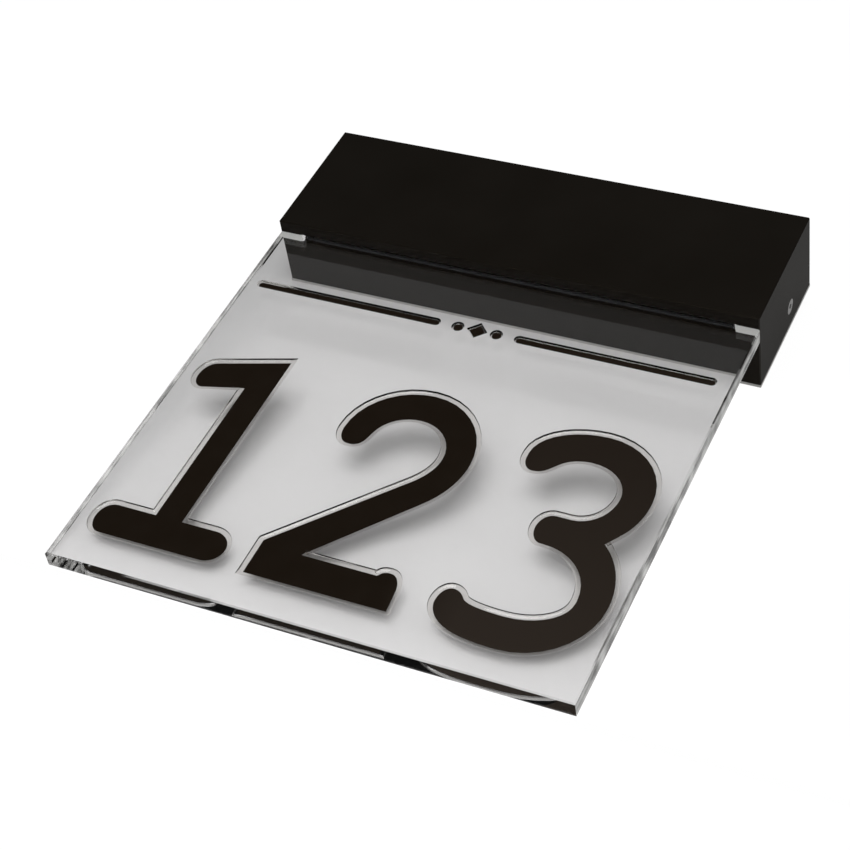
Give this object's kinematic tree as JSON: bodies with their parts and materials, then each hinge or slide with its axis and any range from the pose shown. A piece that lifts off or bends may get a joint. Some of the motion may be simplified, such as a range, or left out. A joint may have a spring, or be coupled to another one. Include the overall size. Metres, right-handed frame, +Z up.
{
  "type": "illuminated house number sign",
  "caption": "Wall sign: a clear plate for engraved numerals hangs from a black box housing that lights it through its upper edge.",
  "frame": {"origin": "on the wall plane, at the middle of the line between the two wall fixing slots, on the back of the wall plate", "axes": "+X to the right seen from the front, +Y into the wall, +Z up; the sign faces -Y and hangs as it does on a wall"},
  "size_m": [0.24, 0.042, 0.289],
  "materials": {
    "stainless_sheet": "satin",
    "grey_foam": "matte",
    "black_rubber": "matte",
    "white_nylon": "matte",
    "brass": "satin",
    "zinc_plated_steel": "satin",
    "tinned_lug": "satin",
    "green_yellow_lead": "satin",
    "mains_lead": "satin",
    "driver_plastic": "matte",
    "circuit_board": "satin",
    "board_parts": "satin",
    "black_coated_aluminium": "satin",
    "stainless_screw": "satin",
    "mill_aluminium": "satin",
    "thermal_tape": "matte",
    "white_board": "satin",
    "led_body": "satin",
    "low_voltage_lead": "satin",
    "clear_acrylic": "polished"
  },
  "bodies": {
    "wall_base": {"wall_plate": "stainless_sheet", "end_brackets": "stainless_sheet", "cover_seal": "grey_foam", "cable_grommet": "black_rubber", "strain_relief": "white_nylon", "terminal_block": "white_nylon", "terminal_cages": "brass", "terminal_screws": "zinc_plated_steel", "stud_nuts": "zinc_plated_steel", "earth_lug": "tinned_lug", "earth_nut": "zinc_plated_steel", "earth_lead": "green_yellow_lead", "mains_leads": "mains_lead", "driver_case": "driver_plastic", "driver_lid": "driver_plastic", "driver_board": "circuit_board", "driver_parts": "board_parts", "driver_socket": "white_nylon"},
    "housing": {"housing_cover": "black_coated_aluminium", "side_screws": "stainless_screw", "side_nuts": "stainless_screw", "light_rail": "mill_aluminium", "rail_nuts": "zinc_plated_steel", "thermal_tape": "thermal_tape", "led_board": "white_board", "leds": "led_body", "led_plug": "white_nylon", "led_leads": "low_voltage_lead", "front_pad": "black_rubber", "clamp_pad": "black_rubber", "clamp_bar": "mill_aluminium", "clamp_screws": "stainless_screw", "slot_seal": "black_rubber"},
    "plate": {"number_plate": "clear_acrylic"}
  },
  "joints": [
    {"name": "cover_lift_off", "type": "slide", "parent": "wall_base", "child": "housing", "axis": [0, -1, 0], "range_m": [0, 0.05]},
    {"name": "plate_pull_out", "type": "slide", "parent": "housing", "child": "plate", "axis": [0, 0, -1], "range_m": [0, 0.03]}
  ]
}
